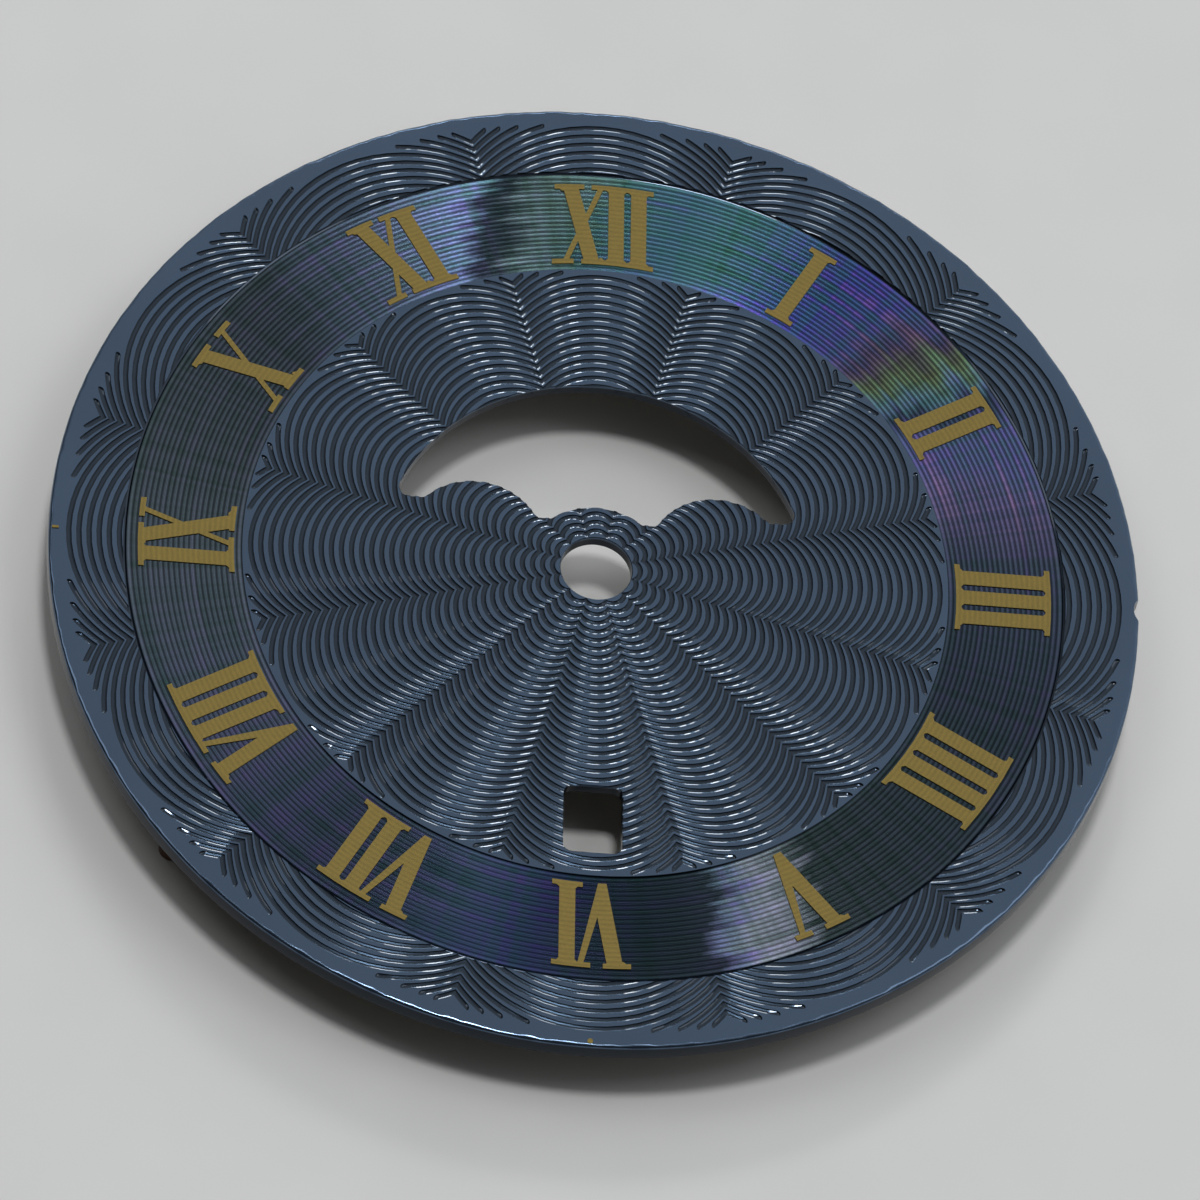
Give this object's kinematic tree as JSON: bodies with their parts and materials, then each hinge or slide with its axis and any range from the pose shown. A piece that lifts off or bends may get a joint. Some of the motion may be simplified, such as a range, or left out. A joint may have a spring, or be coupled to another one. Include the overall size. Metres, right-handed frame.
{
  "type": "watch dial",
  "caption": "Round navy engine-turned watch dial with Roman numerals, a moon window, a date window, a hand hole and soldered feet.",
  "frame": {"origin": "centre of the hand hole on the dial's front face", "axes": "+Z out of the front face towards the reader, +Y towards 12 o'clock, +X towards 3 o'clock"},
  "size_m": [0.032, 0.032, 0.0024],
  "materials": {
    "navy_lacquer": "engine-turned brass under thin navy lacquer, satin chapter ring",
    "gold_ink": "satin gold print",
    "copper": "drawn copper wire",
    "solder": "dull tin solder"
  },
  "bodies": {
    "root": {"dial_plate": "navy_lacquer", "dial_foot_left": "copper", "solder_collar_left": "solder", "dial_foot_right": "copper", "solder_collar_right": "solder", "numeral_1": "gold_ink", "numeral_2": "gold_ink", "numeral_3": "gold_ink", "numeral_4": "gold_ink", "numeral_5": "gold_ink", "numeral_6": "gold_ink", "numeral_7": "gold_ink", "numeral_8": "gold_ink", "numeral_9": "gold_ink", "numeral_10": "gold_ink", "numeral_11": "gold_ink", "numeral_12": "gold_ink", "rim_tick": "gold_ink", "rim_dot": "gold_ink"}
  },
  "joints": []
}
